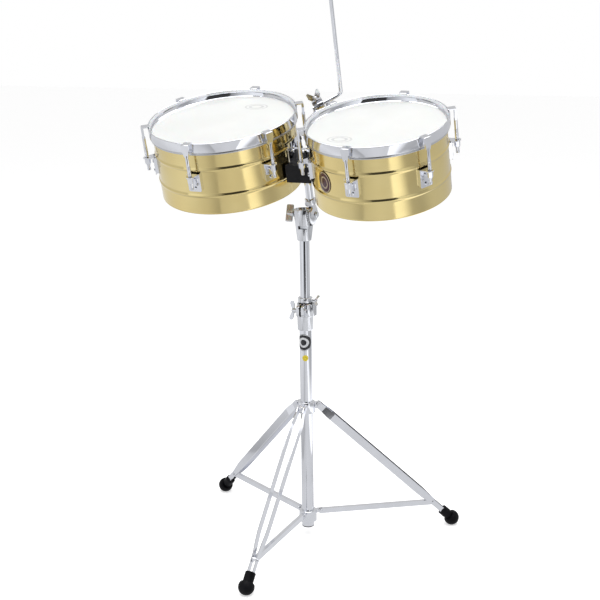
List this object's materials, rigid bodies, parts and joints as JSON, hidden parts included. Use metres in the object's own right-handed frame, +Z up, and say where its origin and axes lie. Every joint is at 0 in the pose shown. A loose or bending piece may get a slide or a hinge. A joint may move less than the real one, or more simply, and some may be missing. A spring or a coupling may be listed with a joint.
{
  "type": "timbales on stand",
  "caption": "Pair of shallow brass drums on a tilting bracket between them, with a chromed height-adjustable folding tripod stand and a rod for a cowbell.",
  "frame": {"origin": "on the floor, at the middle of the rectangle that the whole instrument covers seen from above; the upright tube's axis is 10.47 mm towards -X and 97 mm towards +Y of it", "axes": "+Z up; +X from the larger drum towards the smaller one, left to right for someone facing +Y; the drum heads tip down towards -Y"},
  "size_m": [0.7654, 0.622, 1.4222],
  "materials": {
    "brass_shell": "mirror polished and lacquered",
    "chrome": "bright chrome plate",
    "cast_chrome": "chrome plate over die casting",
    "black_steel": "black powder coat",
    "head_film": "coated white drumhead film",
    "hoop_aluminium": "satin",
    "black_rubber": "moulded rubber, satin",
    "nylon": "moulded nylon",
    "badge_enamel": "dark plate with a pale gold border, no lettering",
    "label_black": "plain black round label",
    "label_yellow": "plain yellow dot"
  },
  "bodies": {
    "stand_base": {"lower_tube": "chrome", "tube_end_plug": "nylon", "leg_collar": "chrome", "leg_pivot_rivets": "chrome", "height_clamp": "cast_chrome", "clamp_bolt": "cast_chrome", "stand_badge": "label_black", "inspection_dot": "label_yellow"},
    "clamp_wing": {"clamp_wing_nut": "cast_chrome"},
    "memory_collar": {"memory_lock": "cast_chrome"},
    "memory_screw": {"memory_lock_screw": "cast_chrome"},
    "post_bush": {"clamp_bush": "nylon"},
    "post": {"upper_tube": "chrome", "tilter_base": "cast_chrome", "tilter_bolt": "cast_chrome"},
    "tilter_wing": {"tilter_wing_nut": "cast_chrome"},
    "tilt_arm": {"tilter_arm": "cast_chrome"},
    "rod_screw": {"rod_clamp_screw": "cast_chrome"},
    "drum_rod": {"tilter_rod": "chrome"},
    "drum_pair": {"mount_bracket": "black_steel", "bracket_plates": "chrome", "bracket_bolts": "chrome", "holder_arm": "chrome", "holder_clamp": "chrome", "drum_badge": "badge_enamel", "left_shell": "brass_shell", "left_head": "head_film", "left_flesh_hoop": "hoop_aluminium", "left_lugs": "chrome", "left_lug_screws": "chrome", "left_tension_nuts": "chrome", "right_shell": "brass_shell", "right_head": "head_film", "right_flesh_hoop": "hoop_aluminium", "right_lugs": "chrome", "right_lug_screws": "chrome", "right_tension_nuts": "chrome"},
    "left_rim_set": {"left_rim": "chrome", "left_tension_hooks": "chrome"},
    "right_rim_set": {"right_rim": "chrome", "right_tension_hooks": "chrome"},
    "bracket_wing": {"bracket_wing_bolt": "cast_chrome"},
    "holder_wing": {"holder_wing_bolt": "cast_chrome"},
    "bell_rod": {"cowbell_rod": "chrome"},
    "strut_collar": {"sliding_collar": "chrome", "strut_pivot_rivets": "chrome"},
    "collar_wing": {"collar_wing_screw": "cast_chrome"},
    "leg_1": {"leg_1": "chrome", "foot_1": "black_rubber", "leg_tip_rivets_1": "chrome"},
    "strut_1": {"strut_1": "chrome"},
    "leg_2": {"leg_2": "chrome", "foot_2": "black_rubber", "leg_tip_rivets_2": "chrome"},
    "strut_2": {"strut_2": "chrome"},
    "leg_3": {"leg_3": "chrome", "foot_3": "black_rubber", "leg_tip_rivets_3": "chrome"},
    "strut_3": {"strut_3": "chrome"}
  },
  "joints": [
    {"name": "clamp_wing_turn", "type": "hinge", "parent": "stand_base", "child": "clamp_wing", "pos_m": [-0.01047, 0.069, 0.613], "axis": [1, 0, 0], "continuous": true},
    {"name": "memory_lock_slide", "type": "slide", "parent": "stand_base", "child": "memory_collar", "axis": [0, 0, 1], "range_m": [0, 0.12]},
    {"name": "memory_screw_turn", "type": "hinge", "parent": "memory_collar", "child": "memory_screw", "pos_m": [-0.01047, 0.097, 0.6365], "axis": [1, 0, 0], "continuous": true},
    {"name": "post_swivel", "type": "hinge", "parent": "stand_base", "child": "post_bush", "pos_m": [-0.01047, 0.097, 0.621], "axis": [0, 0, 1], "continuous": true},
    {"name": "post_height", "type": "slide", "parent": "post_bush", "child": "post", "axis": [0, 0, 1], "range_m": [-0.12, 0.2]},
    {"name": "tilter_wing_turn", "type": "hinge", "parent": "post", "child": "tilter_wing", "pos_m": [-0.01047, 0.097, 0.857], "axis": [1, 0, 0], "continuous": true},
    {"name": "drum_tilt", "type": "hinge", "parent": "post", "child": "tilt_arm", "pos_m": [0.01053, 0.097, 0.857], "axis": [1, 0, 0], "range_deg": [-25, 35]},
    {"name": "rod_screw_turn", "type": "hinge", "parent": "tilt_arm", "child": "rod_screw", "pos_m": [0.01053, 0.0872, 0.89164], "axis": [0, 0.9622, 0.2723], "continuous": true},
    {"name": "drum_swivel", "type": "hinge", "parent": "tilt_arm", "child": "drum_rod", "pos_m": [0.01053, 0.097, 0.857], "axis": [0, -0.2723, 0.9622], "continuous": true},
    {"name": "drum_height", "type": "slide", "parent": "drum_rod", "child": "drum_pair", "axis": [0, -0.2723, 0.9622], "range_m": [0, 0.06]},
    {"name": "left_rim_lift", "type": "slide", "parent": "drum_pair", "child": "left_rim_set", "axis": [0, -0.2723, 0.9622], "range_m": [0, 0.006]},
    {"name": "right_rim_lift", "type": "slide", "parent": "drum_pair", "child": "right_rim_set", "axis": [0, -0.2723, 0.9622], "range_m": [0, 0.006]},
    {"name": "bracket_wing_turn", "type": "hinge", "parent": "drum_pair", "child": "bracket_wing", "pos_m": [0.01053, 0.1221, 1.00336], "axis": [0, 0.9622, 0.2723], "continuous": true},
    {"name": "holder_wing_turn", "type": "hinge", "parent": "drum_pair", "child": "holder_wing", "pos_m": [0.01653, 0.13806, 1.12324], "axis": [-0.3196, -0.4109, 0.8538], "continuous": true},
    {"name": "cowbell_rod_swing", "type": "hinge", "parent": "drum_pair", "child": "bell_rod", "pos_m": [0.01653, 0.13806, 1.12324], "axis": [0.8316, 0.3103, 0.4606], "range_deg": [-35, 35]},
    {"name": "strut_collar_slide", "type": "slide", "parent": "stand_base", "child": "strut_collar", "axis": [0, 0, 1], "range_m": [0, 0.1765]},
    {"name": "collar_wing_turn", "type": "hinge", "parent": "strut_collar", "child": "collar_wing", "pos_m": [-0.01047, 0.097, 0.053], "axis": [0, 1, 0], "continuous": true},
    {"name": "leg_1_fold", "type": "hinge", "parent": "stand_base", "child": "leg_1", "pos_m": [0.01724, 0.113, 0.355], "axis": [-0.5, 0.866, 0], "range_deg": [0, 42.5]},
    {"name": "leg_2_fold", "type": "hinge", "parent": "stand_base", "child": "leg_2", "pos_m": [-0.03818, 0.113, 0.355], "axis": [-0.5, -0.866, 0], "range_deg": [0, 42.5]},
    {"name": "leg_3_fold", "type": "hinge", "parent": "stand_base", "child": "leg_3", "pos_m": [-0.01047, 0.065, 0.355], "axis": [1, 0, 0], "range_deg": [0, 42.5]},
    {"name": "strut_1_swing", "type": "hinge", "parent": "strut_collar", "child": "strut_1", "pos_m": [0.01897, 0.114, 0.062], "axis": [-0.5, 0.866, 0], "range_deg": [0, 85.7]},
    {"name": "strut_2_swing", "type": "hinge", "parent": "strut_collar", "child": "strut_2", "pos_m": [-0.03991, 0.114, 0.062], "axis": [-0.5, -0.866, 0], "range_deg": [0, 85.7]},
    {"name": "strut_3_swing", "type": "hinge", "parent": "strut_collar", "child": "strut_3", "pos_m": [-0.01047, 0.063, 0.062], "axis": [1, 0, 0], "range_deg": [0, 85.7]}
  ],
  "couplings": [
    {"joint": "strut_collar_slide", "follows": "leg_1_fold", "m_per_rad": 0.23784},
    {"joint": "leg_2_fold", "follows": "leg_1_fold", "ratio": 1},
    {"joint": "leg_3_fold", "follows": "leg_1_fold", "ratio": 1},
    {"joint": "strut_1_swing", "follows": "leg_1_fold", "ratio": 2.014},
    {"joint": "strut_2_swing", "follows": "leg_1_fold", "ratio": 2.014},
    {"joint": "strut_3_swing", "follows": "leg_1_fold", "ratio": 2.014}
  ]
}
